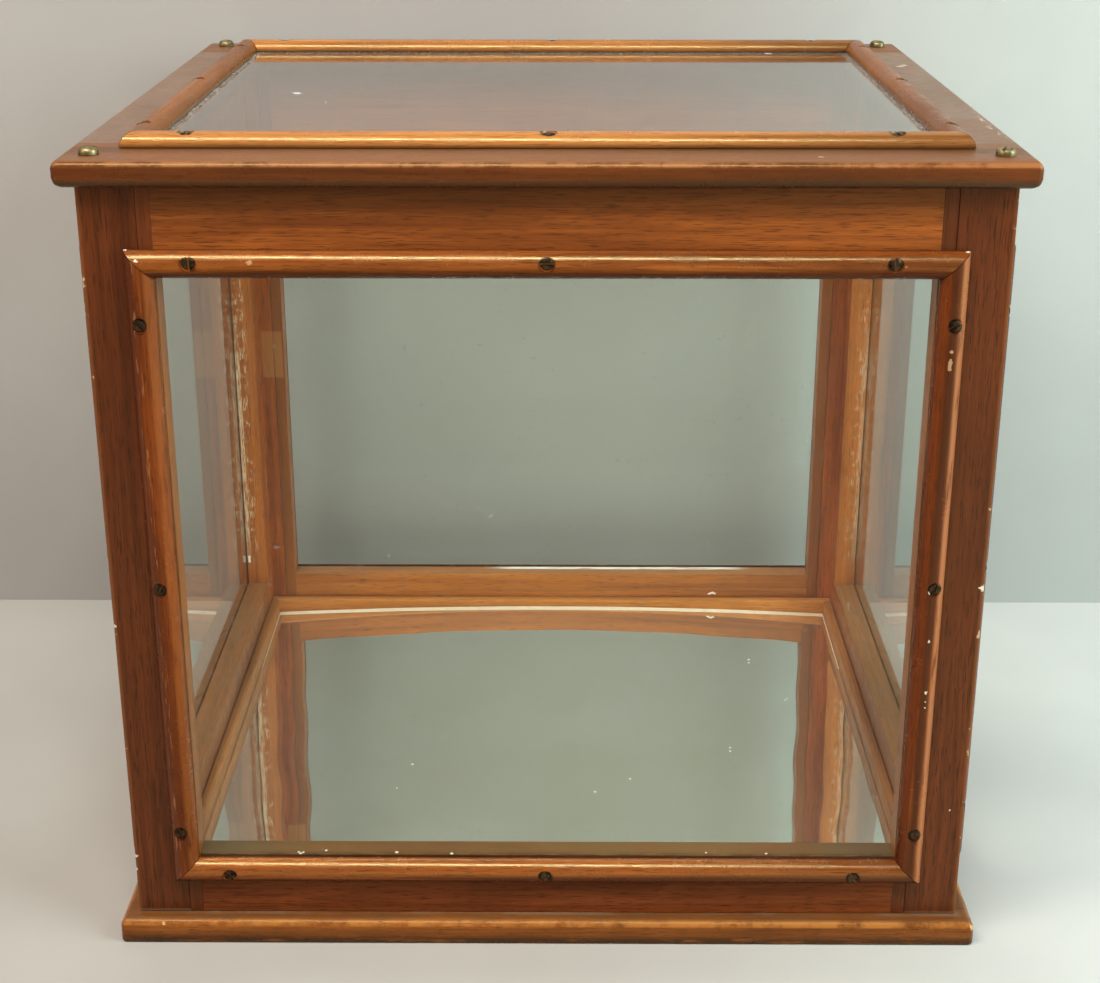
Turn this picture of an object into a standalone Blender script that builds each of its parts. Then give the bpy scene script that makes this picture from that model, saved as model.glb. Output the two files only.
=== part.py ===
# Glazed hardwood display case: four framed glass sides on a base board, a mirror floor inside,
# and a glazed lid held down by a brass screw at each corner.
# Metres, +Z up. The origin is the middle of the base board's underside, and the front faces -Y.

import math

import bmesh
import bpy
from mathutils import Matrix, Vector

# Body of the case, measured over the corner posts.
BODY_WIDTH = 0.406
BODY_DEPTH = 0.368
FRAME_HEIGHT = 0.3643

# Clearance left between neighbouring pieces.
GAP = 0.0003

# Base board.
BASE_THICKNESS = 0.0127
BASE_OVERHANG = 0.0085
BASE_TOP_ROUND = 0.0045
BASE_BOTTOM_ROUND = 0.003
BASE_CORNER_ROUND = 0.003

# Corner posts, L-shaped in plan, and the frames between them.
POST_SIZE = 0.0254
FRAME_THICKNESS = 0.016
LINING_WIDTH = 0.0063
BOTTOM_RAIL_HEIGHT = 0.0317
TOP_RAIL_HEIGHT = 0.0401

# Glass, lying in a rebate on the outer face of its frame.
GLASS_THICKNESS = 0.003
GLASS_OVERLAP = 0.0063

# Half-round beads that hold the glass in.
BEAD_WIDTH = 0.0127
BEAD_HEIGHT = 0.0063
BEAD_STEPS = 14

# Mirror floor and the fillets round it.
MIRROR_THICKNESS = 0.004
FILLET_THICKNESS = 0.0045
FILLET_HEIGHT = 0.015
FILLET_ROUND = 0.003

# Lid.
LID_THICKNESS = 0.012
LID_OVERHANG = 0.008
LID_TOP_ROUND = 0.0035
LID_BOTTOM_ROUND = 0.0045
LID_CORNER_ROUND = 0.0025
ROUND_STEPS = 5

# Brass corner screws, placed from the outer faces of the posts.
SCREW_INSET_SIDE = 0.0055
SCREW_INSET_FRONT = 0.008
SCREW_HEAD_DIAMETER = 0.0088
SCREW_HEAD_HEIGHT = 0.0034
SCREW_SHANK_DIAMETER = 0.0048
SCREW_SHANK_LENGTH = 0.03
SCREW_POINT_LENGTH = 0.006
SCREW_SLOT_WIDTH = 0.001
SCREW_SLOT_DEPTH = 0.0014
SCREW_STEPS = 28
DOME_STEPS = 7

# Bare lid between the rim of a screw head and the lid's beads.
SCREW_TO_SIDE_BEAD = 0.0055
SCREW_TO_FRONT_BEAD = 0.0096

# Heights and places that follow from the sizes above.
FRAME_BOTTOM = BASE_THICKNESS + GAP
FRAME_TOP = BASE_THICKNESS + FRAME_HEIGHT
OPENING_BOTTOM = BASE_THICKNESS + BOTTOM_RAIL_HEIGHT
OPENING_TOP = FRAME_TOP - TOP_RAIL_HEIGHT
REBATE_DEPTH = GLASS_THICKNESS + GAP
LID_BOTTOM = FRAME_TOP + GAP
LID_TOP = LID_BOTTOM + LID_THICKNESS
LID_WIDTH = BODY_WIDTH + 2 * LID_OVERHANG
LID_DEPTH = BODY_DEPTH + 2 * LID_OVERHANG
SCREW_X = BODY_WIDTH / 2 - SCREW_INSET_SIDE
SCREW_Y = BODY_DEPTH / 2 - SCREW_INSET_FRONT
LID_BEAD_WIDTH = 2 * (SCREW_X - SCREW_HEAD_DIAMETER / 2 - SCREW_TO_SIDE_BEAD)
LID_BEAD_DEPTH = 2 * (SCREW_Y - SCREW_HEAD_DIAMETER / 2 - SCREW_TO_FRONT_BEAD)
LID_OPENING_WIDTH = LID_BEAD_WIDTH - 2 * BEAD_WIDTH
LID_OPENING_DEPTH = LID_BEAD_DEPTH - 2 * BEAD_WIDTH
INNER_WIDTH = BODY_WIDTH - 2 * FRAME_THICKNESS
INNER_DEPTH = BODY_DEPTH - 2 * FRAME_THICKNESS

# Each side's name, its turn about Z in quarter turns, its length and its distance from the middle.
SIDES = (
    ("front", 0, BODY_WIDTH, BODY_DEPTH / 2),
    ("right", 1, BODY_DEPTH, BODY_WIDTH / 2),
    ("back", 2, BODY_WIDTH, BODY_DEPTH / 2),
    ("left", 3, BODY_DEPTH, BODY_WIDTH / 2),
)
# Each corner's name, its signs along X and Y, the post's quarter turns and the screw slot's angle.
CORNERS = (
    ("front_left", -1, -1, 0, 20),
    ("front_right", 1, -1, 1, 75),
    ("back_right", 1, 1, 2, 150),
    ("back_left", -1, 1, 3, 105),
)
Y_AXIS = Vector((0, 1, 0))
Z_AXIS = Vector((0, 0, 1))
QUARTER_TURN = math.pi / 2
SMOOTH_ANGLE = math.radians(40)
WELD_DISTANCE = 1e-6


def clear_scene():
    for obj in list(bpy.data.objects):
        bpy.data.objects.remove(obj, do_unlink=True)


def new_collection(name):
    collection = bpy.data.collections.new(name)
    bpy.context.scene.collection.children.link(collection)
    return collection


def new_material(name, color, roughness, metallic=0.0, transmission=0.0):
    material = bpy.data.materials.new(name)
    material.use_nodes = True
    shader = material.node_tree.nodes["Principled BSDF"]
    shader.inputs["Base Color"].default_value = (*color, 1)
    shader.inputs["Roughness"].default_value = roughness
    shader.inputs["Metallic"].default_value = metallic
    shader.inputs["Transmission Weight"].default_value = transmission
    return material


def new_empty(name, location=(0, 0, 0), turns=0):
    empty = bpy.data.objects.new(name, None)
    empty.location = location
    empty.rotation_euler.z = turns * QUARTER_TURN
    parts.objects.link(empty)
    return empty


def place_part(name, mesh, material, parent, location=(0, 0, 0), rotation=(0, 0, 0)):
    mesh.name = name
    mesh.materials.append(material)
    part = bpy.data.objects.new(name, mesh)
    part.parent = parent
    part.location = location
    part.rotation_euler = rotation
    parts.objects.link(part)
    return part


def place_cutter(name, mesh, location):
    cutter = bpy.data.objects.new(name, mesh)
    cutter.location = location
    cutter.hide_render = True
    cutter.display_type = "WIRE"
    cutters.objects.link(cutter)
    return cutter


def cut(part, cutter):
    boolean = part.modifiers.new("cut by " + cutter.name, "BOOLEAN")
    boolean.operation = "DIFFERENCE"
    boolean.object = cutter


# Turn that brings an object's own X and Y axes onto two directions.
def turn_onto(own_x, own_y):
    return Matrix((own_x, own_y, own_x.cross(own_y))).transposed().to_euler()


def limited_round(radius, wall):
    return min(radius, 0.45 * wall)


def arc(center, radius, start, end, steps):
    points = []
    for step in range(steps + 1):
        angle = start + (end - start) * step / steps
        points.append((center[0] + radius * math.cos(angle), center[1] + radius * math.sin(angle)))
    return points


def mesh_from(bm, smooth=False):
    mesh = bpy.data.meshes.new("shape")
    bm.to_mesh(mesh)
    bm.free()
    if smooth:
        mesh.shade_smooth()
        mesh.set_sharp_from_angle(angle=SMOOTH_ANGLE)
    return mesh


# Solid of a flat outline, with its thickness shared equally about the outline's plane.
def outline_bmesh(outline, thickness):
    curve = bpy.data.curves.new("outline", "CURVE")
    curve.dimensions = "2D"
    curve.fill_mode = "BOTH"
    curve.extrude = thickness / 2
    spline = curve.splines.new("POLY")
    spline.points.add(len(outline) - 1)
    for point, (x, y) in zip(spline.points, outline):
        point.co = (x, y, 0, 1)
    spline.use_cyclic_u = True
    guide = bpy.data.objects.new("outline", curve)
    bpy.context.scene.collection.objects.link(guide)
    graph = bpy.context.evaluated_depsgraph_get()
    mesh = bpy.data.meshes.new_from_object(guide.evaluated_get(graph))
    bpy.data.objects.remove(guide, do_unlink=True)
    bpy.data.curves.remove(curve)
    bm = bmesh.new()
    bm.from_mesh(mesh)
    bpy.data.meshes.remove(mesh)
    bmesh.ops.remove_doubles(bm, verts=bm.verts, dist=WELD_DISTANCE)
    bmesh.ops.recalc_face_normals(bm, faces=bm.faces)
    return bm


def box_bmesh(size):
    bm = bmesh.new()
    bmesh.ops.create_cube(bm, size=1)
    bmesh.ops.scale(bm, vec=size, verts=bm.verts)
    return bm


# Board whose outer corners and its top and bottom edges are rounded. Edges of hidden sides stay square.
def place_board(name, size, hidden_sides, rounds, material, parent, middle):
    top_round, bottom_round, corner_round = (limited_round(radius, size[2]) for radius in rounds)
    widest = max(top_round, bottom_round, corner_round)
    bm = box_bmesh(size)
    weights = bm.edges.layers.float.new("bevel_weight_edge")

    def on_side(edge, axis, sign):
        return all(vert.co[axis] * sign > size[axis] / 2 - WELD_DISTANCE for vert in edge.verts)

    for edge in bm.edges:
        if any(on_side(edge, axis, sign) for axis, sign in hidden_sides):
            continue
        if on_side(edge, 2, 1):
            edge[weights] = top_round / widest
        elif on_side(edge, 2, -1):
            edge[weights] = bottom_round / widest
        else:
            edge[weights] = corner_round / widest
    mesh = mesh_from(bm)
    mesh.shade_smooth()
    board = place_part(name, mesh, material, parent, middle)
    rounded = board.modifiers.new("rounded edges", "BEVEL")
    rounded.limit_method = "WEIGHT"
    rounded.width = widest
    rounded.segments = ROUND_STEPS
    rounded.harden_normals = True
    return board


def build_base(case):
    size = (BODY_WIDTH + 2 * BASE_OVERHANG, BODY_DEPTH + 2 * BASE_OVERHANG, BASE_THICKNESS)
    rounds = (BASE_TOP_ROUND, BASE_BOTTOM_ROUND, BASE_CORNER_ROUND)
    place_board("base_board", size, (), rounds, base_wood, case, (0, 0, BASE_THICKNESS / 2))


def build_post(name, sign_x, sign_y, turns, case, hole):
    outline = [
        (0, 0),
        (POST_SIZE, 0),
        (POST_SIZE, FRAME_THICKNESS),
        (FRAME_THICKNESS, FRAME_THICKNESS),
        (FRAME_THICKNESS, POST_SIZE),
        (0, POST_SIZE),
    ]
    mesh = mesh_from(outline_bmesh(outline, FRAME_TOP - FRAME_BOTTOM))
    corner = (sign_x * BODY_WIDTH / 2, sign_y * BODY_DEPTH / 2, (FRAME_TOP + FRAME_BOTTOM) / 2)
    post = place_part("post_" + name, mesh, post_wood, case, corner, (0, 0, turns * QUARTER_TURN))
    cut(post, hole)


# Outlines of rails, linings and fillets are drawn as depth from the outer face, then height.
def place_profile(name, outline, length, material, side, location):
    mesh = mesh_from(outline_bmesh(outline, length))
    place_part(name, mesh, material, side, location, turn_onto(Y_AXIS, Z_AXIS))


def build_rails(name, side, length, face):
    rail_length = length - 2 * (POST_SIZE + LINING_WIDTH + GAP)
    height = OPENING_BOTTOM - FRAME_BOTTOM
    bottom_outline = [
        (0, 0),
        (FRAME_THICKNESS, 0),
        (FRAME_THICKNESS, height),
        (REBATE_DEPTH, height),
        (REBATE_DEPTH, height - GLASS_OVERLAP),
        (0, height - GLASS_OVERLAP),
    ]
    top_outline = [
        (0, TOP_RAIL_HEIGHT),
        (0, GLASS_OVERLAP),
        (REBATE_DEPTH, GLASS_OVERLAP),
        (REBATE_DEPTH, 0),
        (FRAME_THICKNESS, 0),
        (FRAME_THICKNESS, TOP_RAIL_HEIGHT),
    ]
    place_profile(name + "_bottom_rail", bottom_outline, rail_length, rail_wood, side,
                  (0, -face, FRAME_BOTTOM))
    place_profile(name + "_top_rail", top_outline, rail_length, rail_wood, side,
                  (0, -face, OPENING_TOP))


# Full-height strip beside each post, set back behind the glass.
def build_linings(name, side, length, face):
    outline = [
        (0, FRAME_BOTTOM),
        (0, OPENING_BOTTOM - GLASS_OVERLAP),
        (REBATE_DEPTH, OPENING_BOTTOM - GLASS_OVERLAP),
        (REBATE_DEPTH, OPENING_TOP + GLASS_OVERLAP),
        (0, OPENING_TOP + GLASS_OVERLAP),
        (0, FRAME_TOP),
        (FRAME_THICKNESS, FRAME_TOP),
        (FRAME_THICKNESS, FRAME_BOTTOM),
    ]
    width = LINING_WIDTH - GAP
    offset = length / 2 - POST_SIZE - GAP - width / 2
    for hand, sign in (("left", -1), ("right", 1)):
        place_profile(name + "_lining_" + hand, outline, width, lining_wood, side,
                      (sign * offset, -face, 0))


def build_glass(name, side, length, face):
    size = (
        length - 2 * (POST_SIZE + GAP),
        GLASS_THICKNESS,
        OPENING_TOP - OPENING_BOTTOM + 2 * (GLASS_OVERLAP - GAP),
    )
    middle = (0, -face + GLASS_THICKNESS / 2, (OPENING_TOP + OPENING_BOTTOM) / 2)
    place_part(name + "_glass", mesh_from(box_bmesh(size)), glass, side, middle)


# Half-round bead with mitred ends. Its own X runs in from its outer edge, and its own Y stands proud.
def bead_mesh(length):
    outline = []
    for step in range(BEAD_STEPS + 1):
        angle = math.pi * step / BEAD_STEPS
        outline.append((BEAD_WIDTH / 2 * (1 - math.cos(angle)), BEAD_HEIGHT * math.sin(angle)))
    bm = outline_bmesh(outline, length)
    trim = GAP / math.sqrt(2)
    for vert in bm.verts:
        vert.co.z = math.copysign(length / 2 - vert.co.x - trim, vert.co.z)
    return mesh_from(bm, smooth=True)


# Four beads round an opening: names holds the low, right, high and left bead's name.
def build_beads(names, width, height, middle, up, proud, parent):
    right = up.cross(proud)
    rings = ((up, width, height), (-right, height, width), (-up, width, height), (right, height, width))
    for name, (inward, length, reach) in zip(names, rings):
        location = Vector(middle) - inward * reach / 2
        place_part(name, bead_mesh(length), bead_wood, parent, location, turn_onto(inward, proud))


def build_side_beads(name, side, length, face):
    names = [name + "_bead_" + edge for edge in ("bottom", "right", "top", "left")]
    width = length - 2 * (POST_SIZE + LINING_WIDTH - BEAD_WIDTH)
    height = OPENING_TOP - OPENING_BOTTOM + 2 * BEAD_WIDTH
    middle = (0, -face - GAP, (OPENING_TOP + OPENING_BOTTOM) / 2)
    build_beads(names, width, height, middle, Z_AXIS, -Y_AXIS, side)


# Fillet at the foot of a frame, whose inner top edge is rounded. The side fillets fit between the others.
def build_fillet(name, side, length, face):
    radius = limited_round(FILLET_ROUND, FILLET_THICKNESS)
    rounded = arc((FILLET_THICKNESS - radius, FILLET_HEIGHT - radius), radius, 0, QUARTER_TURN, ROUND_STEPS)
    outline = [(0, 0), (FILLET_THICKNESS, 0), *rounded, (0, FILLET_HEIGHT)]
    free_length = length - 2 * (FRAME_THICKNESS + GAP)
    if name in ("left", "right"):
        free_length -= 2 * (FILLET_THICKNESS + GAP)
    location = (0, -face + FRAME_THICKNESS + GAP, FRAME_BOTTOM)
    place_profile(name + "_mirror_fillet", outline, free_length, fillet_wood, side, location)


def build_mirror(case):
    border = 2 * (FILLET_THICKNESS + 2 * GAP)
    size = (INNER_WIDTH - border, INNER_DEPTH - border, MIRROR_THICKNESS)
    middle = (0, 0, FRAME_BOTTOM + MIRROR_THICKNESS / 2)
    place_part("mirror_floor", mesh_from(box_bmesh(size)), mirror, case, middle)


# The front and back rails run the lid's full width, and the side rails fit between them.
def build_lid_rails(lid, holes):
    long_rail = (LID_DEPTH - LID_OPENING_DEPTH) / 2
    side_rail = (LID_WIDTH - LID_OPENING_WIDTH) / 2
    pocket_size = (
        LID_OPENING_WIDTH + 2 * GLASS_OVERLAP,
        LID_OPENING_DEPTH + 2 * GLASS_OVERLAP,
        2 * REBATE_DEPTH,
    )
    pocket = place_cutter("lid_glass_pocket", mesh_from(box_bmesh(pocket_size)), (0, 0, LID_TOP))
    rounds = (LID_TOP_ROUND, LID_BOTTOM_ROUND, LID_CORNER_ROUND)
    for name, sign in (("front", -1), ("back", 1)):
        size = (LID_WIDTH, long_rail, LID_THICKNESS)
        middle = (0, sign * (LID_DEPTH - long_rail) / 2, LID_THICKNESS / 2)
        rail = place_board("lid_rail_" + name, size, ((1, -sign),), rounds, lid_wood, lid, middle)
        cut(rail, pocket)
        for corner, hole in holes.items():
            if corner.startswith(name):
                cut(rail, hole)
    for name, sign in (("left", -1), ("right", 1)):
        size = (side_rail, LID_OPENING_DEPTH - 2 * GAP, LID_THICKNESS)
        hidden_sides = ((0, -sign), (1, -1), (1, 1))
        middle = (sign * (LID_WIDTH - side_rail) / 2, 0, LID_THICKNESS / 2)
        rail = place_board("lid_rail_" + name, size, hidden_sides, rounds, lid_wood, lid, middle)
        cut(rail, pocket)


def build_lid_glass(lid):
    size = (
        LID_OPENING_WIDTH + 2 * (GLASS_OVERLAP - GAP),
        LID_OPENING_DEPTH + 2 * (GLASS_OVERLAP - GAP),
        GLASS_THICKNESS,
    )
    middle = (0, 0, LID_THICKNESS - GLASS_THICKNESS / 2)
    place_part("lid_glass", mesh_from(box_bmesh(size)), glass, lid, middle)


def build_lid_beads(lid):
    names = ["lid_bead_" + edge for edge in ("front", "right", "back", "left")]
    middle = (0, 0, LID_THICKNESS + GAP)
    build_beads(names, LID_BEAD_WIDTH, LID_BEAD_DEPTH, middle, Y_AXIS, Z_AXIS, lid)


# Clearance hole for a screw, through the lid and down into the post.
def screw_hole(name, sign_x, sign_y):
    tip = LID_TOP - SCREW_SHANK_LENGTH
    top = LID_TOP + SCREW_HEAD_HEIGHT
    bm = bmesh.new()
    radius = SCREW_SHANK_DIAMETER / 2 + GAP
    bmesh.ops.create_cone(bm, cap_ends=True, segments=SCREW_STEPS, radius1=radius, radius2=radius,
                          depth=top - tip)
    return place_cutter("screw_hole_" + name, mesh_from(bm),
                        (sign_x * SCREW_X, sign_y * SCREW_Y, (top + tip) / 2))


# Turned screw with a domed, slotted head. Its origin is under the head, on its axis.
def build_screw(name, sign_x, sign_y, slot_angle, empty):
    head_radius = SCREW_HEAD_DIAMETER / 2
    shank_radius = SCREW_SHANK_DIAMETER / 2
    profile = []
    for step in range(DOME_STEPS + 1):
        angle = QUARTER_TURN * (1 - step / DOME_STEPS)
        profile.append((head_radius * math.cos(angle), SCREW_HEAD_HEIGHT * math.sin(angle)))
    profile[0] = (0, SCREW_HEAD_HEIGHT)
    profile.append((shank_radius, 0))
    profile.append((shank_radius, SCREW_POINT_LENGTH - SCREW_SHANK_LENGTH))
    profile.append((0, -SCREW_SHANK_LENGTH))
    bm = bmesh.new()
    verts = [bm.verts.new((x, 0, z)) for x, z in profile]
    for first, second in zip(verts, verts[1:]):
        bm.edges.new((first, second))
    location = (sign_x * SCREW_X, sign_y * SCREW_Y, LID_TOP + GAP)
    screw = place_part("corner_screw_" + name, mesh_from(bm), brass, empty, location)
    turned = screw.modifiers.new("turned", "SCREW")
    turned.steps = SCREW_STEPS
    turned.render_steps = SCREW_STEPS
    turned.use_merge_vertices = True
    turned.merge_threshold = 0.0001
    turned.use_smooth_shade = True
    slot_size = (2 * SCREW_HEAD_DIAMETER, SCREW_SLOT_WIDTH, 2 * SCREW_SLOT_DEPTH)
    crown = Vector(location) + SCREW_HEAD_HEIGHT * Z_AXIS
    slot = place_cutter("screw_slot_" + name, mesh_from(box_bmesh(slot_size)), crown)
    slot.rotation_euler.z = math.radians(slot_angle)
    cut(screw, slot)


clear_scene()
parts = new_collection("display_case")
cutters = new_collection("display_case_cutters")

base_wood = new_material("base wood", (0.23, 0.082, 0.028), 0.4)
post_wood = new_material("post wood", (0.125, 0.036, 0.014), 0.38)
rail_wood = new_material("rail wood", (0.21, 0.072, 0.021), 0.4)
lining_wood = new_material("lining wood", (0.16, 0.05, 0.016), 0.4)
bead_wood = new_material("bead wood", (0.17, 0.05, 0.017), 0.3)
fillet_wood = new_material("fillet wood", (0.2, 0.075, 0.026), 0.45)
lid_wood = new_material("lid wood", (0.19, 0.066, 0.027), 0.42)
glass = new_material("glass", (0.9, 0.96, 0.93), 0.03, transmission=1.0)
mirror = new_material("mirror", (0.75, 0.8, 0.79), 0.05, metallic=1.0)
brass = new_material("brass", (0.36, 0.27, 0.1), 0.4, metallic=1.0)

case_frame = new_empty("case_frame")
lid_frame = new_empty("lid_frame", (0, 0, LID_BOTTOM))
screw_frame = new_empty("screw_frame")

build_base(case_frame)
screw_holes = {}
for corner_name, x_sign, y_sign, quarter_turns, slot_turn in CORNERS:
    screw_holes[corner_name] = screw_hole(corner_name, x_sign, y_sign)
    build_post(corner_name, x_sign, y_sign, quarter_turns, case_frame, screw_holes[corner_name])
    build_screw(corner_name, x_sign, y_sign, slot_turn, screw_frame)
for side_name, quarter_turns, side_length, face_distance in SIDES:
    side_frame = new_empty(side_name + "_frame", turns=quarter_turns)
    build_rails(side_name, side_frame, side_length, face_distance)
    build_linings(side_name, side_frame, side_length, face_distance)
    build_glass(side_name, side_frame, side_length, face_distance)
    build_side_beads(side_name, side_frame, side_length, face_distance)
    build_fillet(side_name, side_frame, side_length, face_distance)
build_mirror(case_frame)
build_lid_rails(lid_frame, screw_holes)
build_lid_glass(lid_frame)
build_lid_beads(lid_frame)
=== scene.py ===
import math
import random

import bmesh
import bpy
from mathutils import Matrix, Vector


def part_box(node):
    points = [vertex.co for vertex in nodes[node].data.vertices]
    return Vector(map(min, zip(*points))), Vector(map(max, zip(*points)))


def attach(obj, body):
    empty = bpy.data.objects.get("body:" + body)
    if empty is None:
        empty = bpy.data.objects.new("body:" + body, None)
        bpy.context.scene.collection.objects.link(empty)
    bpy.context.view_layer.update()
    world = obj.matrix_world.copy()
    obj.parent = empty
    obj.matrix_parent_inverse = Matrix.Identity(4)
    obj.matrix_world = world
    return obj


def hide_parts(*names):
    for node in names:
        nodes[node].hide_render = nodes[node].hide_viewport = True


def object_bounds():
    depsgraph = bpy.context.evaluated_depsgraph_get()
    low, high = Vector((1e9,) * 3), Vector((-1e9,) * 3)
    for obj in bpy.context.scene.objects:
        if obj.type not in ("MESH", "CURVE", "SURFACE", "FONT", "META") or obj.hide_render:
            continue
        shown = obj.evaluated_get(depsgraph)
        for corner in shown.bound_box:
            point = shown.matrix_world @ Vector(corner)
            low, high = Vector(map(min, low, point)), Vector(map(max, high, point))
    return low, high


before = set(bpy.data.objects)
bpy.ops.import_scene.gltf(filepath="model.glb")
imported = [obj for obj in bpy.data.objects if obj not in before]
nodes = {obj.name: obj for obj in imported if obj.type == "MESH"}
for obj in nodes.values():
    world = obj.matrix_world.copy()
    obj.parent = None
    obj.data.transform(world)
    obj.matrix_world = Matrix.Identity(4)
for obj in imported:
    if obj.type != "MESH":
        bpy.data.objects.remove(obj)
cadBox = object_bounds()  # the solids alone, before anything is dressed
sideNames = ("front", "right", "back", "left")
black = (0.0, 0.0, 0.0, 1.0)
print("frame loaded:", len(nodes), "nodes")


# small helpers for node trees
def tone(red, green, blue):  # 0-255 as read on a screen, turned to the linear values that shaders use
    linear = []
    for level in (red, green, blue):
        share = level / 255
        linear.append(share / 12.92 if share <= 0.04045 else ((share + 0.055) / 1.055) ** 2.4)
    return (*linear, 1.0)


def setInputs(tree, node, inputs):
    for name, value in inputs.items():
        value = getattr(value, "socket", value)
        if isinstance(value, bpy.types.NodeSocket):
            tree.links.new(value, node.inputs[name])
        else:
            node.inputs[name].default_value = value


def addNode(tree, kind, inputs=None, **settings):
    node = tree.nodes.new(kind)
    for name, value in settings.items():
        setattr(node, name, value)
    setInputs(tree, node, inputs or {})
    return node


class Field:  # a value in a node tree, so that masks and tones can be written as sums
    def __init__(self, tree, socket):
        self.tree = tree
        self.socket = socket

    def make(self, kind, inputs, output=0, **settings):
        return Field(self.tree, addNode(self.tree, kind, inputs, **settings).outputs[output])

    def calc(self, operation, first, second=0.0):
        return self.make("ShaderNodeMath", {0: first, 1: second}, operation=operation)

    def __add__(self, other):
        return self.calc("ADD", self, other)

    def __sub__(self, other):
        return self.calc("SUBTRACT", self, other)

    def __rsub__(self, other):
        return self.calc("SUBTRACT", other, self)

    def __mul__(self, other):
        return self.calc("MULTIPLY", self, other)

    def __or__(self, other):  # the stronger of two masks
        return self.calc("MAXIMUM", self, other)

    def __abs__(self):
        return self.calc("ABSOLUTE", self)

    def ramp(self, low, high, start=0.0, end=1.0):  # smooth step from low to high
        limits = {"Value": self, "From Min": low, "From Max": high, "To Min": start, "To Max": end}
        return self.make("ShaderNodeMapRange", limits, "Result", interpolation_type="SMOOTHSTEP")

    def within(self, low, high, soft):  # 1 between low and high, 0 outside
        return self.ramp(low - soft, low + soft) * self.ramp(high - soft, high + soft, 1.0, 0.0)

    def mix(self, first, second, mode="MIX"):  # this share of the second tone over the first
        tones = {0: self, 6: first, 7: second}
        return self.make("ShaderNodeMix", tones, 2, data_type="RGBA", blend_type=mode)

    def noise(self, scale, detail, roughness, twist=0.0):
        settings = {"Scale": scale, "Detail": detail, "Roughness": roughness, "Distortion": twist}
        return self.make("ShaderNodeTexNoise", {"Vector": self, **settings}, "Fac")

    def shifted(self, offset, scale=(1, 1, 1)):
        return self.make("ShaderNodeMapping", {"Vector": self, "Location": offset, "Scale": scale})

    def drawnOut(self, offset, repeats, detail, roughness):  # noise with its own repeats per metre each way
        return self.shifted(offset, repeats).noise(1.0, detail, roughness)

    def split(self):
        parts = addNode(self.tree, "ShaderNodeSeparateXYZ", {0: self}).outputs
        return [Field(self.tree, part) for part in parts]

    def vectorCalc(self, operation, inputs, output=0):
        return self.make("ShaderNodeVectorMath", {0: self, **inputs}, output, operation=operation)

    def spots(self, marks, ragged=2.2):  # each mark is (x, y, z, radius)
        rough = self.make("ShaderNodeTexNoise", {"Vector": self, **spotLook["rough"]}, "Color")
        jitter = rough.vectorCalc("SUBTRACT", {1: (0.5, 0.5, 0.5)})
        masks = []
        for x, y, z, radius in marks:
            push = jitter.vectorCalc("SCALE", {"Scale": radius * ragged})
            far = self.vectorCalc("ADD", {1: push}).vectorCalc("DISTANCE", {1: (x, y, z)}, "Value")
            masks.append(far.ramp(radius * spotLook["core"], radius, 1.0, 0.0))
        return anyOf(masks)

    def spotsAt(self, level, marks, ragged=2.2):  # all at one level, each mark is (x, y, radius)
        return self.spots([(x, y, level, radius) for x, y, radius in marks], ragged)


spotLook = {"rough": {"Scale": 700.0, "Detail": 2.0}, "core": 0.75}  # core: the share of a spot that is solid


def anyOf(masks):
    total = masks[0]
    for mask in masks[1:]:
        total = total | mask
    return total


def source(tree, kind, output, **settings):
    return Field(tree, addNode(tree, kind, **settings).outputs[output])


def rays(tree, *kinds):
    path = addNode(tree, "ShaderNodeLightPath").outputs
    return [Field(tree, path["Is " + kind + " Ray"]) for kind in kinds]


def moved(start, gaps):
    return [start + gap for gap in gaps]


def newMaterial(name):
    material = bpy.data.materials.new(name)
    material.use_nodes = True
    tree = material.node_tree
    return material, tree, tree.nodes["Principled BSDF"], source(tree, "ShaderNodeTexCoord", "Object")


# varnished mahogany
warmShine = (1.0, 0.74, 0.42, 1.0)  # light comes back amber through old shellac
polishedShine = (1.0, 0.93, 0.48, 1.0)  # and paler from the polished beads and lid
sideLidShine = (1.0, 0.95, 0.9, 1.0)
dulledUnderShine = (0.08, 0.04, 0.02, 1.0)
# painted shade where faces and beads turn down, and grime at a bead's foot
grimeAndShadeTones = {"underside": tone(38, 22, 14), "shadedBeadUnder": tone(58, 25, 9), "beadFoot": tone(34, 16, 9)}
seedSteps = (1.37, 2.11, 0.73)
grainLayers = {  # repeats per metre along and across the grain, then detail, roughness and twist
    "broad": ((2.5, 26.0), (4.0, 0.6, 0.6)),
    "streak": ((7.0, 240.0), (4.0, 0.65, 0.3)),
    "fibre": ((20.0, 850.0), (3.0, 0.6, 0.0)),
    "pore": ((120.0, 1900.0), (1.0, 0.4, 0.0)),
    "flame": ((14.0, 60.0), (2.0, 0.5, 1.2)),
}
patchNoise = {"blotch": (9.0, 3.0, 0.6), "rub": (60.0, 4.0, 0.7), "cloud": (22.0, 4.0, 0.65),
              "grit": (900.0, 2.0, 0.6)}
grainEdges = {"body": (0.32, 0.68), "flame": (0.52, 0.75), "fibre": (0.45, 0.75), "pore": (0.57, 0.68),
              "blotch": (0.42, 0.72)}
wearEdges = {  # where wear, dust and painted light and shade set in and are full, mostly by how far a face looks up
    "turn": (0.32, 0.9, 0.12), "rubbed": (0.35, 0.62), "underside": (-0.1, -0.7), "shadedBeadUnder": (0.15, -0.7),
    "dulled": (0.25, -0.35), "beadFoot": (0.35, 0.0, 0.0, 0.75), "crown": (0.75, 1.0),
    "crownStreak": (0.5, 0.75), "facingUp": (0.75, 0.97), "cloud": (0.25, 0.75, 0.45, 1.0),
    "grit": (0.3, 0.7, 0.7, 1.0), "innerFace": (-0.0004, -0.0012),
}
fibreShare = 0.6
poreDepth = 0.00025
glossRange = (-0.06, 0.08)
dustDulls = 0.35
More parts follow.
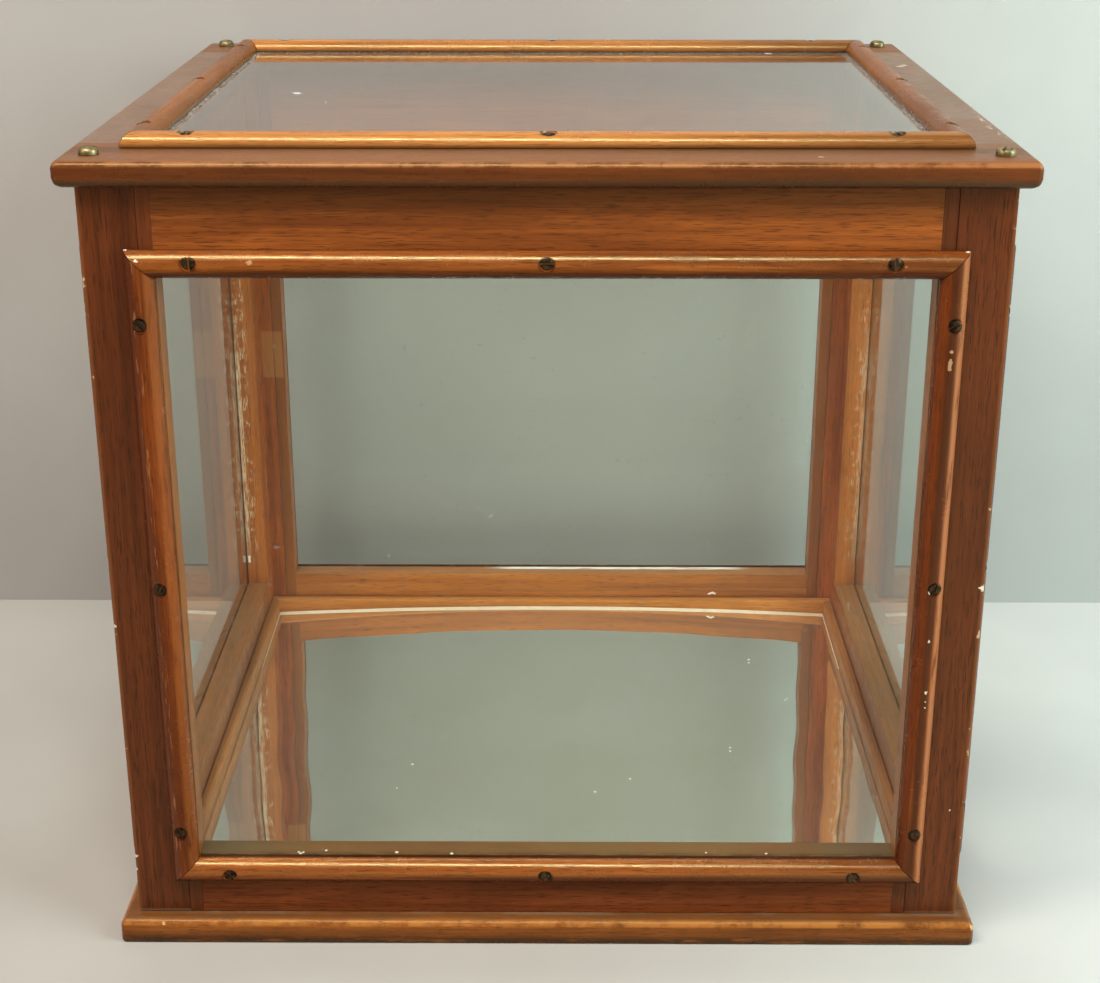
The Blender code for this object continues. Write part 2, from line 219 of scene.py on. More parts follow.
caseSize = {  # outer faces of the body and levels, read from the frame
    "halfWidth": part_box("post_front_right")[1].x,
    "halfDepth": -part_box("post_front_left")[0].y,
    "baseTop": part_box("base_board")[1].z,
    "lidTop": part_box("lid_rail_front")[1].z,
}


def beyondBody(place):  # how far out of the body's faces, seen in plan
    x, y, _ = place.split()
    return (abs(x) - caseSize["halfWidth"]) | (abs(y) - caseSize["halfDepth"])


def woodGrain(place, look):
    offset = tuple(look["seed"] * step for step in seedSteps)
    layers = {}
    for layer, ((along, across), settings) in grainLayers.items():
        repeats = tuple(along if name == look["grain"] else across for name in "xyz")
        layers[layer] = place.shifted(offset, repeats).noise(1.0, *settings)
    body = layers["broad"] * 0.5 + layers["streak"] * 0.5
    color = body.ramp(*grainEdges["body"]).mix(look["dark"], look["light"])
    color = layers["flame"].ramp(*grainEdges["flame"], 0.0, look["flame"]).mix(color, look["light"])
    fibre = layers["fibre"].ramp(*grainEdges["fibre"], 0.0, look["pores"] * fibreShare)
    color = fibre.mix(color, look["poreTone"])
    pores = layers["pore"].ramp(*grainEdges["pore"])
    color = (pores * look["pores"]).mix(color, look["poreTone"])
    ownPlace = place.shifted(offset)
    blotch = ownPlace.noise(*patchNoise["blotch"]).ramp(*grainEdges["blotch"], 0.0, look["blotch"])
    return blotch.mix(color, look["dark"]), layers["streak"], pores, ownPlace.noise(*patchNoise["rub"])


def wornLitAndShadedWood(look, color, up, rub, streak):
    if look["edgeWearAndHighlight"]:  # rubbed pale where a rounded edge turns, with a painted highlight along it too
        worn = up.within(*wearEdges["turn"]) * rub.ramp(*wearEdges["rubbed"])
        color = (worn * look["edgeWearAndHighlight"]).mix(color, look["wornAndLitTone"])
    if look["undersideShade"]:  # painted shade where the underside turns in
        under = up.ramp(*wearEdges["underside"]) * look["undersideShade"]
        color = under.mix(color, grimeAndShadeTones["underside"])
    if look["under"]:  # painted shade where a bead turns down
        color = up.ramp(*wearEdges["shadedBeadUnder"], 0.0, look["under"]).mix(color, grimeAndShadeTones["shadedBeadUnder"])
    if look["crest"]:  # bead: grimy at its foot, rubbed along its crown
        crest = source(up.tree, "ShaderNodeAttribute", "Fac", attribute_name="crest")
        color = crest.ramp(*wearEdges["beadFoot"]).mix(color, look["footTone"])
        crown = crest.ramp(*wearEdges["crown"]) * streak.ramp(*wearEdges["crownStreak"])
        color = (crown * look["crest"]).mix(color, look["wornAndLitTone"])
    return color


def woodMaterial(name, ownLook):
    look = {**plainWood, **ownLook}
    material, tree, shader, place = newMaterial(name)
    color, streak, pores, rub = woodGrain(place, look)
    up = source(tree, "ShaderNodeNewGeometry", "Normal").split()[2]
    color = wornLitAndShadedWood(look, color, up, rub, streak)
    gloss = rub.ramp(0.3, 0.7, *moved(look["gloss"], glossRange))
    if look["dust"]:  # settles on what faces up
        cloud = place.noise(*patchNoise["cloud"]).ramp(*wearEdges["cloud"])
        grit = place.noise(*patchNoise["grit"]).ramp(*wearEdges["grit"])
        settled = up.ramp(*wearEdges["facingUp"]) * cloud * grit * look["dust"]
        color = settled.mix(color, look["dustTone"])
        gloss = gloss + settled * dustDulls
    if look["inside"]:  # painted light: the faces inside the body are brightened and reddened, standing in for the light through the glass
        litInner = beyondBody(place).ramp(*wearEdges["innerFace"])
        color = litInner.mix(color, look["inside"], "MULTIPLY")
    if look["marks"]:
        for mask, share, markTone in look["marks"](place):
            color = (mask * share).mix(color, markTone)
    shineTone = look["shineTone"]
    if look["under"]:  # where a bead turns down its reflection is dulled too
        shineTone = up.ramp(*wearEdges["dulled"]).mix(shineTone, dulledUnderShine)
    height = streak * look["ripple"] - pores
    relief = {"Strength": look["poreBump"], "Distance": poreDepth, "Height": height}
    bump = height.make("ShaderNodeBump", relief)
    setInputs(tree, shader, {"Base Color": color, "Roughness": gloss, "Normal": bump,
                             "Specular IOR Level": look["shine"], "Specular Tint": shineTone})
    return material


# single marks on the woods: each function gives masks with their strength and tone
postWear = {"chipped": (0.0005, 0.0014), "rubbed": (0.0006, 0.0022), "foot": (0.0006, 0.0022),
            "ragged": 0.004,
            "bruises": ((0.2026, -0.1838, 0.1897, 0.0020), (-0.2028, -0.1838, 0.0441, 0.0013),
                        (-0.2028, -0.1838, 0.1689, 0.0010), (0.1961, -0.184, 0.0717, 0.0005),
                        (-0.2028, -0.1838, 0.0372, 0.0010))}


def postMarks(place):
    x, y, z = place.split()
    fromCorner = (caseSize["halfWidth"] - abs(x)) + (caseSize["halfDepth"] - abs(y))
    ragged = fromCorner + (place.noise(420.0, 2.0, 0.6) - 0.5) * postWear["ragged"]
    chipped = ragged.ramp(*postWear["chipped"], 1.0, 0.0) * place.noise(130.0, 3.0, 0.6).ramp(0.63, 0.68)
    rubbed = fromCorner.ramp(*postWear["rubbed"], 1.0, 0.0)
    foot = z.ramp(*moved(caseSize["baseTop"], postWear["foot"]), 1.0, 0.0)
    bruises = place.spots(postWear["bruises"])
    return [(rubbed, 0.35, tone(160, 96, 52)), (foot, 0.4, tone(140, 122, 100)),
            (chipped, 0.8, tone(214, 188, 150)), (bruises, 0.95, tone(236, 220, 190)), oldPatch(x, y, z)]


patchPlace = {"x": (-0.185, -0.172, 0.0004), "y": (0.1672, 0.1688, 0.0004), "z": (0.1815, 0.2122, 0.0005)}


def oldPatch(x, y, z):  # paler rectangle inside the back left corner
    patch = x.within(*patchPlace["x"]) * z.within(*patchPlace["z"]) * y.within(*patchPlace["y"])
    return patch, 0.55, tone(170, 112, 58)


puttyLook = {  # where it lies, each as low, high and softness
    "beside": (0.1925, 0.1996, 0.0012), "level": (0.064, 0.25, 0.008), "face": (0.1515, 0.1526, 0.0004),
    "edgeBeside": (0.1970, 0.1998, 0.0005), "edgeLevel": (0.07, 0.21, 0.02),
    "rightToLeft": (0.01, -0.01), "edgeShare": (0.7, 0.8), "share": (0.6, 1.0),  # more of it on the left
    "blobs": [(-0.1984, 0.1523, height, 0.0010) for height in (0.0598, 0.0610, 0.0622, 0.0632)],
    "darkFrom": (0.1668, 0.1676), "darkTo": (0.1700, 0.1692),
}


def liningMarks(place):  # old putty on the jambs and a paler patch in one corner
    x, y, z = place.split()
    look = puttyLook
    flecks = place.drawnOut((3, 1, 2), (2600, 2600, 170), 3.0, 0.7)
    gaps = place.noise(240.0, 2.0, 0.5).ramp(0.44, 0.6)
    fromMiddle = abs(x)
    backFace = y.within(*look["face"])
    putty = fromMiddle.within(*look["beside"]) * backFace * z.within(*look["level"])
    putty = putty * (gaps * flecks.ramp(0.51, 0.61))
    edge = fromMiddle.within(*look["edgeBeside"]) * z.within(*look["edgeLevel"])
    edge = edge * backFace * flecks.ramp(0.42, 0.54)
    putty = putty | (edge * x.ramp(*look["rightToLeft"], *look["edgeShare"]))
    putty = putty * x.ramp(*look["rightToLeft"], *look["share"])
    blobs = place.spots(look["blobs"], 0.7)
    backPlane = y.ramp(*look["darkFrom"]) * y.ramp(*look["darkTo"])
    return [(backPlane, 0.7, tone(112, 60, 25)), (putty, 0.8, tone(222, 204, 172)),
            (blobs, 0.9, tone(236, 226, 206)), oldPatch(x, y, z)]


sillWear = {"grimeAndShade": (0.0036, 0.0008), "top": (-0.0006, -0.0002), "ends": (0.1, 0.165),
            "bits": ((-0.1228, -0.1786, 0.0008), (-0.1217, -0.1798, 0.0009), (-0.1205, -0.1788, 0.0007),
                     (-0.1094, -0.1770, 0.0008), (-0.0742, -0.1785, 0.0010), (-0.0470, -0.1795, 0.0009),
                     (0.0787, -0.1780, 0.0007), (0.1084, -0.1785, 0.0008))}


def sillMarks(place):  # bits and grime along the foot of the front pane
    x, y, z = place.split()
    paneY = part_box("front_glass")[1].y
    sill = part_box("front_bottom_rail")[1].z
    bits = place.spotsAt(sill, sillWear["bits"], 1.0)
    dirt = place.drawnOut((2, 5, 1), (90, 400, 400), 4.0, 0.7)
    top = z.ramp(*moved(sill, sillWear["top"]))
    grimeAndShade = y.ramp(*moved(paneY, sillWear["grimeAndShade"])) * dirt.ramp(0.38, 0.58) * top
    ends = abs(x).ramp(*sillWear["ends"]) * top
    return [(ends, 0.55, tone(84, 75, 50)), (grimeAndShade, 0.6, tone(46, 30, 13)), (bits, 0.95, tone(236, 228, 208))]


beadWear = {
    "chips": ((-0.1778, -0.1895, 0.3453, 0.0011), (-0.1828, -0.1855, 0.3494, 0.0009),
              (0.1826, -0.1858, 0.3486, 0.0012), (0.1779, -0.190, 0.1652, 0.0009),
              (0.1786, -0.1897, 0.1391, 0.0012), (0.1785, -0.1897, 0.1340, 0.0008),
              (0.1785, -0.190, 0.1307, 0.0009), (0.1768, -0.1897, 0.1898, 0.0011),
              (0.1247, 0.1605, 0.3935, 0.0016)),
    "scuffs": ((-0.1284, -0.1895, 0.345, 0.0016), (0.1558, -0.1895, 0.3437, 0.0014),
               (0.1778, -0.1905, 0.3056, 0.0009), (0.1776, -0.1905, 0.3019, 0.0008),
               (0.1777, -0.1905, 0.3005, 0.0011), (0.1774, -0.1905, 0.2990, 0.0012),
               (0.1775, -0.1905, 0.2976, 0.0009)),
    "shadedEnd": (0.02, 0.17),  # level beads grow darker towards the right
}


def beadMarks(place):
    scuffs = place.spots(beadWear["scuffs"], 1.4)
    chips = place.spots(beadWear["chips"])
    return [(scuffs, 0.65, tone(214, 164, 116)), (chips, 0.95, tone(240, 228, 204))]


def shadedEnd(place):
    return place.split()[0].ramp(*beadWear["shadedEnd"])


def levelMarks(place):
    return [(shadedEnd(place), 0.36, tone(80, 29, 10)), *beadMarks(place)]


def lidBeadMarks(place):
    return [(shadedEnd(place), 0.5, tone(74, 38, 17)), *beadMarks(place)]


uprightWear = {  # bands across the beads, measured from their outer rims
    "rightRim": (-0.0044, -0.0026), "rightBand": (-0.0080, -0.0044), "litLeftInner": (0.0088, 0.0140),
    "shadedLeftBand": (0.0052, 0.0030), "leftStreak": (0.0030, 0.0056), "front": (0.002, 0.0),
}


def uprightMarks(place):  # the two upright beads in front: the right one rubbed along its rim with a dark band beside it, the left one with painted light on its inner flank and painted shade along its outer side
    x, y, _ = place.split()
    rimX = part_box("front_bead_right")[1].x
    right, left = ({name: moved(rim, band) for name, band in uprightWear.items()} for rim in (rimX, -rimX))
    front = y.ramp(*moved(-caseSize["halfDepth"], uprightWear["front"]))
    thread = place.drawnOut((1, 2, 3), (300, 300, 40), 3.0, 0.6)
    rubbed = front * thread.ramp(0.25, 0.5)
    rightRim = rubbed * x.ramp(*right["rightRim"])
    rightBand = front * x.within(*right["rightBand"], 0.0010)
    # painted light on the left bead's inner flank, and painted shade along its outer side
    litLeftInner = rubbed * x.within(*left["litLeftInner"], 0.0012)
    shadedLeftBand = front * x.ramp(*left["shadedLeftBand"])
    streak = place.drawnOut((5, 2, 1), (900, 900, 70), 2.0, 0.6)
    leftStreak = x.within(*left["leftStreak"], 0.0006) * streak.ramp(0.58, 0.66) * front
    return [(rightBand, 0.75, tone(62, 26, 11)), (rightRim, 0.65, tone(200, 124, 76)),
            (shadedLeftBand, 0.5, tone(70, 30, 13)), (litLeftInner, 0.25, tone(200, 112, 48)),
            (leftStreak, 0.35, tone(206, 142, 92)), *beadMarks(place)]


topRailShadow = {"grimeAndShade": (-0.022, -0.002)}  # painted shadow of the lid, reaching this far below the rail's top


def topRailMarks(place):  # painted shadow under the lid
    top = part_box("front_top_rail")[1].z
    return [(place.split()[2].ramp(*moved(top, topRailShadow["grimeAndShade"])), 0.5, tone(56, 28, 13))]


backRailWear = {"line": (-0.0048, -0.0038), "stretch": (-0.035, 0.125, 0.012),
                "chips": ((0.1058, 0.168, 0.0302, 0.0008), (0.1070, 0.168, 0.0309, 0.0009),
                          (0.1084, 0.168, 0.0311, 0.0010), (0.1097, 0.168, 0.0306, 0.0008))}


def backRailMarks(place):  # light caught along the foot of the back pane
    x, y, _ = place.split()
    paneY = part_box("back_glass")[0].y
    thread = place.drawnOut((1, 1, 3), (60, 900, 900), 3.0, 0.6)
    line = y.ramp(*moved(paneY, backRailWear["line"])) * x.within(*backRailWear["stretch"])
    line = line * thread.ramp(0.36, 0.5)
    chips = place.spots(backRailWear["chips"], 1.0)
    return [(line, 0.95, tone(244, 238, 226)), (chips, 0.9, tone(240, 228, 206))]


lidWear = {"rightEdge": (0.2035, 0.2112, 0.001), "stretch": (-0.135, -0.055, 0.012),
           "cleanedX": (0.150, 0.2062, 0.0006), "cleanedY": (-0.151, -0.0834, 0.0006),
           "lit": (-0.0060, -0.0008), "grimeAndShade": (-0.0050, -0.0115),  # painted highlight and painted shade, below the lid's top
           "shadeFrom": (-0.018, -0.001), "shadeTo": (0.004, 0.002),  # along the foot of the front bead
           "smears": ((0.1975, 0.092, 0.3893, 0.0026), (0.2005, 0.0965, 0.3893, 0.0022),
                      (0.1175, -0.1801, 0.3893, 0.0012))}


def lidMarks(place):
    x, y, z = place.split()
    scrape = place.drawnOut((1, 4, 0), (500, 130, 500), 3.0, 0.7)
    worn = x.within(*lidWear["rightEdge"]) * y.within(*lidWear["stretch"]) * scrape.ramp(0.55, 0.66)
    smears = place.spots(lidWear["smears"])
    cleaned = x.within(*lidWear["cleanedX"]) * y.within(*lidWear["cleanedY"])
    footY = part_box("lid_bead_front")[0].y
    shaded = y.ramp(*moved(footY, lidWear["shadeFrom"])) * y.ramp(*moved(footY, lidWear["shadeTo"]))
    # painted highlight near the lid's top, and painted shade lower down its edges
    lit = z.ramp(*moved(caseSize["lidTop"], lidWear["lit"]))
    grimeAndShade = z.ramp(*moved(caseSize["lidTop"], lidWear["grimeAndShade"]))
    return [(lit, 0.1, tone(176, 108, 56)), (shaded, 0.62, tone(66, 34, 15)), (grimeAndShade, 0.45, tone(50, 24, 13)),
            (cleaned, 0.5, tone(120, 80, 52)), (worn, 0.8, tone(212, 190, 160)),
            (smears, 0.75, tone(220, 205, 184))]


baseWear = {"drift": (0.0032, 0.0), "top": (-0.0006, -0.0001), "stain": (0.5, 0.15),  # shares of height
            "corners": ((0.2108, -0.1915, 0.0098, 0.0016), (-0.19, -0.1915, 0.0105, 0.0010))}


def baseMarks(place):
    z = place.split()[2]
    patchy = place.noise(18.0, 5.0, 0.7).ramp(0.42, 0.66, 0.1, 1.0)
    top = z.ramp(*moved(caseSize["baseTop"], baseWear["top"]))
    drift = beyondBody(place).ramp(*baseWear["drift"]) * patchy * top
    scars = place.drawnOut((2, 2, 2), (60, 60, 500), 3.0, 0.65)
    stain = z.ramp(*(caseSize["baseTop"] * share for share in baseWear["stain"])) * scars.ramp(0.30, 0.52)
    # pale spots at the base's front corners; the left one is a painted highlight
    corners = place.spots(baseWear["corners"])
    return [(stain, 0.85, tone(46, 26, 15)), (drift, 0.45, tone(140, 126, 104)),
            (corners, 0.7, tone(232, 190, 128))]


plainWood = dict(flame=0.4, blotch=0.3, shine=0.4, shineTone=warmShine, ripple=0.0, poreBump=0.3, dust=0,
                 edgeWearAndHighlight=0, undersideShade=0, under=0, crest=0, footTone=grimeAndShadeTones["beadFoot"], inside=None,
                 marks=None)
levelBead = dict(grain="x", shineTone=polishedShine, ripple=0.3, poreBump=0.12, crest=0.5, under=0.8)
woodLooks = {  # one finish per kind of piece and direction of grain
    "post": dict(
        grain="z", seed=1, light=tone(112, 52, 23), dark=tone(72, 29, 12), poreTone=tone(34, 12, 5),
        pores=0.6, flame=0.3, blotch=0.35, gloss=0.36, dust=0.2, dustTone=tone(150, 128, 104),
        inside=(2.8, 3.0, 1.3, 1), marks=postMarks),
    "lining": dict(
        grain="z", seed=2, light=tone(114, 53, 24), dark=tone(76, 32, 13), poreTone=tone(38, 15, 6),
        pores=0.4, flame=0.35, blotch=0.25, gloss=0.4, inside=(2.9, 3.8, 2.1, 1), marks=liningMarks),
    "topRailX": dict(
        grain="x", seed=3, light=tone(178, 95, 36), dark=tone(118, 57, 21), poreTone=tone(60, 27, 10),
        pores=0.55, flame=0.5, gloss=0.38, marks=topRailMarks),
    "topRailY": dict(
        grain="y", seed=4, light=tone(146, 76, 28), dark=tone(92, 42, 15), poreTone=tone(42, 18, 7),
        pores=0.7, gloss=0.38),
    "lowRailX": dict(
        grain="x", seed=5, light=tone(140, 70, 33), dark=tone(91, 42, 19), poreTone=tone(42, 18, 9),
        pores=0.6, gloss=0.42, shine=0.2, dust=0.85, dustTone=tone(122, 97, 54), marks=sillMarks),
    "lowRailY": dict(
        grain="y", seed=6, light=tone(160, 91, 39), dark=tone(110, 59, 24), poreTone=tone(54, 25, 11),
        pores=0.6, gloss=0.42, dust=0.5, dustTone=tone(130, 104, 66)),
    "backRail": dict(
        grain="x", seed=7, light=tone(178, 102, 38), dark=tone(128, 66, 22), poreTone=tone(68, 30, 11),
        pores=0.6, blotch=0.2, gloss=0.38, dust=0.4, dustTone=tone(150, 124, 84), marks=backRailMarks),
    "beadX": dict(
        levelBead, seed=8, light=tone(168, 86, 29), dark=tone(103, 48, 15), poreTone=tone(40, 15, 5),
        pores=0.5, blotch=0.35, gloss=0.23, shine=0.95, wornAndLitTone=tone(200, 116, 46), marks=levelMarks),
    "lidBeadX": dict(
        levelBead, seed=16, light=tone(202, 128, 62), dark=tone(145, 85, 39), poreTone=tone(62, 29, 12),
        pores=0.4, blotch=0.25, gloss=0.21, shine=0.78, wornAndLitTone=tone(214, 136, 60), marks=lidBeadMarks),
    "beadY": dict(
        grain="y", seed=9, light=tone(152, 86, 27), dark=tone(106, 55, 15), poreTone=tone(58, 28, 11),
        pores=0.08, gloss=0.3, shine=0.2, poreBump=0.02, crest=0.15, footTone=tone(112, 84, 58),
        wornAndLitTone=tone(196, 126, 70), marks=beadMarks),
    "beadZ": dict(
        grain="z", seed=10, light=tone(134, 59, 18), dark=tone(82, 32, 9), poreTone=tone(38, 14, 6),
        pores=0.5, blotch=0.35, gloss=0.22, shine=0.35, ripple=0.3, poreBump=0.12, crest=0.45,
        wornAndLitTone=tone(186, 104, 44), marks=uprightMarks),
    "filletX": dict(
        grain="x", seed=11, light=tone(204, 126, 56), dark=tone(150, 86, 34), poreTone=tone(70, 34, 13),
        pores=0.4, flame=0.3, gloss=0.42, dust=0.35, dustTone=tone(160, 134, 90)),
    "filletY": dict(
        grain="y", seed=12, light=tone(180, 108, 46), dark=tone(128, 72, 28), poreTone=tone(66, 32, 13),
        pores=0.4, flame=0.3, gloss=0.42, dust=0.3, dustTone=tone(160, 134, 90)),
    "lidX": dict(
        grain="x", seed=13, light=tone(120, 58, 23), dark=tone(82, 36, 14), poreTone=tone(44, 18, 8),
        pores=0.35, gloss=0.27, shineTone=polishedShine, poreBump=0.1, edgeWearAndHighlight=0.38, undersideShade=0.4,
        wornAndLitTone=tone(208, 138, 86), dust=0.7, dustTone=tone(122, 76, 41), marks=lidMarks),
    "lidY": dict(
        grain="y", seed=14, light=tone(114, 70, 36), dark=tone(80, 47, 24), poreTone=tone(48, 24, 12),
        pores=0.3, gloss=0.36, shine=0.5, shineTone=sideLidShine, poreBump=0.1, edgeWearAndHighlight=0.3, undersideShade=0.3,
        wornAndLitTone=tone(170, 112, 72), dust=0.5, dustTone=tone(150, 138, 122), marks=lidMarks),
    "base": dict(
        grain="x", seed=15, light=tone(162, 90, 34), dark=tone(108, 55, 20), poreTone=tone(54, 25, 10),
        pores=0.5, flame=0.5, blotch=0.45, gloss=0.3, edgeWearAndHighlight=0.6, undersideShade=0.9,
        wornAndLitTone=tone(198, 126, 56), dust=0.8, dustTone=tone(90, 64, 37), marks=baseMarks),
}
woods = {}
for woodName, woodLook in woodLooks.items():
    woods[woodName] = woodMaterial(woodName + "Wood", woodLook)
print("wood finishes:", len(woods))


# glass, mirror and metal
glassLook = {
    "tint": tone(247, 251, 248), "shadowTint": tone(247, 249, 247), "ior": 1.5,
    "faceOn": (0.22, 0.22, 0.22, 1.0),  # reflects less face on, still fully at a glancing angle
    "dust": 0.006, "specks": 0.10, "rimDust": 0.5,
    "rimSides": (-0.006, -0.001), "rimBack": (-0.012, -0.002), "rimBackShare": 0.7,  # from the beads' feet
    "lidOnly": (-0.0045, -0.004),  # below the lid pane's top
    "paint": ((-0.1304, -0.0066, 0.0026), (-0.112, -0.035, 0.0006), (-0.155, 0.052, 0.0005),
              (0.02, -0.06, 0.0004), (0.128, 0.1455, 0.0022)),
}


def lidRimDust(place, lidLevel):  # flecks along the sides and back of the lid's pane
    x, y, z = place.split()
    look = glassLook
    sides = abs(x).ramp(*moved(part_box("lid_bead_right")[0].x, look["rimSides"]))
    back = y.ramp(*moved(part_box("lid_bead_back")[0].y, look["rimBack"]), 0.0, look["rimBackShare"])
    flecks = place.noise(520.0, 3.0, 0.7).ramp(0.48, 0.64)
    return (sides | back) * z.ramp(*moved(lidLevel, look["lidOnly"])) * flecks * look["rimDust"]


def glassMaterial():
    material, tree, shader, place = newMaterial("oldGlass")
    look = glassLook
    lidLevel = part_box("lid_glass")[1].z
    specks = place.noise(260.0, 2.0, 0.5).ramp(0.69, 0.74)
    film = place.noise(11.0, 4.0, 0.65).ramp(0.3, 0.75)
    dust = film * look["dust"] + specks * look["specks"]
    dust = dust | lidRimDust(place, lidLevel) | place.spotsAt(lidLevel, look["paint"])
    setInputs(tree, shader, {"Transmission Weight": 1.0 - dust, "Base Color": look["tint"], "Roughness": 0.0,
                             "IOR": look["ior"], "Specular Tint": look["faceOn"]})
    passing = addNode(tree, "ShaderNodeBsdfTransparent", {"Color": look["shadowTint"]})
    showThrough(tree, anyOf(rays(tree, "Shadow", "Diffuse")), shader, passing)
    return material


def showThrough(tree, share, shader, passing):
    mixed = addNode(tree, "ShaderNodeMixShader", {0: share, 1: shader.outputs[0], 2: passing.outputs[0]})
    setInputs(tree, tree.nodes["Material Output"], {"Surface": mixed.outputs[0]})


silverLook = {
    "clean": tone(250, 251, 246), "filmed": tone(243, 243, 232), "speck": tone(238, 236, 226),
    "filmShare": 0.5, "speckShare": 0.3, "speckRough": 0.1, "rough": (0.012, 0.05),
    "silver": 0.96,  # the rest is a thin film of dust
    "bits": ((-0.0777, -0.0412, 0.0009), (0.126, 0.0926, 0.001), (0.1256, 0.0883, 0.0008),
             (0.1047, -0.0206, 0.0008), (0.1044, -0.0248, 0.0007), (0.1432, 0.0388, 0.0007),
             (0.1446, 0.0408, 0.0006), (0.0257, -0.0715, 0.0009), (0.0456, -0.057, 0.0008),
             (-0.0843, -0.0679, 0.0006)),
}


def mirrorMaterial():
    material, tree, shader, place = newMaterial("mirrorSilver")
    look = silverLook
    film = place.noise(14.0, 4.0, 0.65)
    specks = place.noise(330.0, 2.0, 0.5).ramp(0.72, 0.77)
    color = film.ramp(0.3, 0.75, 0.0, look["filmShare"]).mix(look["clean"], look["filmed"])
    color = (specks * look["speckShare"]).mix(color, look["speck"])
    inPlan = place.shifted((0, 0, 0), (1, 1, 0))  # because the sheet is bowed
    bits = inPlan.spotsAt(0, look["bits"], 1.0)
    rough = film.ramp(0.3, 0.8, *look["rough"]) + specks * look["speckRough"]
    silver = (1.0 - bits) * look["silver"]
    setInputs(tree, shader, {"Base Color": color, "Roughness": rough, "Metallic": silver})
    return material


edgeLook = {"tones": (tone(226, 210, 176), tone(255, 248, 226)), "rough": (0.3, 0.55)}


def groundEdgeMaterial():
    material, tree, shader, place = newMaterial("groundEdge")
    sparkle = place.noise(180.0, 3.0, 0.6)
    setInputs(tree, shader, {"Base Color": sparkle.mix(*edgeLook["tones"]),
                             "Roughness": sparkle.ramp(0.3, 0.7, *edgeLook["rough"])})
    return material


metalLooks = {
    "tarnishedBrass": {"clean": tone(166, 150, 108), "tarnish": tone(90, 76, 50), "rough": (0.4, 0.6),
                       "stainScale": 420.0},
    "darkScrewSteel": {"clean": tone(88, 72, 52), "tarnish": tone(36, 27, 20), "rough": (0.35, 0.6),
                       "stainScale": 380.0},
}


def metalMaterial(name):
    material, tree, shader, place = newMaterial(name)
    look = metalLooks[name]
    stain = place.noise(look["stainScale"], 4.0, 0.65)
    fine = place.noise(1900.0, 2.0, 0.6)
    bump = fine.make("ShaderNodeBump", {"Strength": 0.25, "Distance": 0.0001, "Height": fine})
    color = stain.ramp(0.35, 0.68).mix(look["clean"], look["tarnish"])
    rough = stain.ramp(0.3, 0.7, *look["rough"])
    setInputs(tree, shader, {"Base Color": color, "Roughness": rough, "Metallic": 1.0, "Normal": bump})
    return material


glass = glassMaterial()
mirrorSilver = mirrorMaterial()
groundEdge = groundEdgeMaterial()
brass = metalMaterial("tarnishedBrass")
darkSteel = metalMaterial("darkScrewSteel")
print("glass, mirror and metal finishes made")


# helpers for meshes
def finishPiece(piece, body, slotName, *replaced):
    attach(piece, body)
    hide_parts(*replaced)


def smoothMesh(mesh, sharperThan):
    mesh.shade_smooth()
    mesh.set_sharp_from_angle(angle=math.radians(sharperThan))


def newPiece(name, bm, materials, sharperThan=35):
    mesh = bpy.data.meshes.new(name)
    bm.to_mesh(mesh)
    bm.free()
    for material in materials:
        mesh.materials.append(material)
    smoothMesh(mesh, sharperThan)
    piece = bpy.data.objects.new(name, mesh)
    bpy.context.scene.collection.objects.link(piece)
    return piece


def skinRings(bm, rings):  # faces between each ring and the next, and a cap at both ends
    for first, second in zip(rings, rings[1:]):
        for step in range(len(first)):
            following = (step + 1) % len(first)
            bm.faces.new((first[step], first[following], second[following], second[step]))
    bm.faces.new(rings[0])
    bm.faces.new(rings[-1])
    bmesh.ops.recalc_face_normals(bm, faces=bm.faces)


def applyModifiers(piece):
    graph = bpy.context.evaluated_depsgraph_get()
    mesh = bpy.data.meshes.new_from_object(piece.evaluated_get(graph))
    old = piece.data
    piece.modifiers.clear()
    piece.data = mesh
    bpy.data.meshes.remove(old)


def cutAway(piece, cutter, sharperThan):
    cut = piece.modifiers.new("cutAway", "BOOLEAN")
    cut.operation = "DIFFERENCE"
    cut.object = cutter
    applyModifiers(piece)
    bpy.data.objects.remove(cutter, do_unlink=True)
    smoothMesh(piece.data, sharperThan)


# pieces made from the solids, with softened edges
tightJoint = 0.00014  # takes up the clearance between neighbours
softEdge = {"post": 0.0005, "joint": 0.0002, "fillet": 0.0004, "lid": 0.0004,  # radii
            "steps": 2, "sharperThan": 50, "mergeWithin": 1e-5, "flatWithin": 0.5}


def softenedCopy(nodeName, material, radius, grow=None):
    bm = bmesh.new()
    bm.from_mesh(nodes[nodeName].data)
    if grow:
        low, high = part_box(nodeName)
        for vert in bm.verts:
            for axis in range(3):
                nearLow = abs(vert.co[axis] - low[axis]) < abs(vert.co[axis] - high[axis])
                vert.co[axis] += -grow[axis] if nearLow else grow[axis]
    bmesh.ops.remove_doubles(bm, verts=bm.verts, dist=softEdge["mergeWithin"])
    flat = math.radians(softEdge["flatWithin"])
    bmesh.ops.dissolve_limit(bm, angle_limit=flat, verts=bm.verts, edges=bm.edges)
    sharp = []
    for edge in bm.edges:
        if edge.is_manifold and edge.calc_face_angle() > math.radians(softEdge["sharperThan"]):
            sharp.append(edge)
    bmesh.ops.bevel(bm, geom=sharp, offset=radius, offset_type="OFFSET", segments=softEdge["steps"],
                    profile=0.5, affect="EDGES", clamp_overlap=True)
    piece = newPiece(nodeName + "_dressed", bm, [material])
    piece.modifiers.new("evenShading", "WEIGHTED_NORMAL").keep_sharp = True
    return piece


def dressNode(nodeName, woodName, slotName, radius, body="case", grow=None):
    finishPiece(softenedCopy(nodeName, woods[woodName], radius, grow), body, slotName, nodeName)


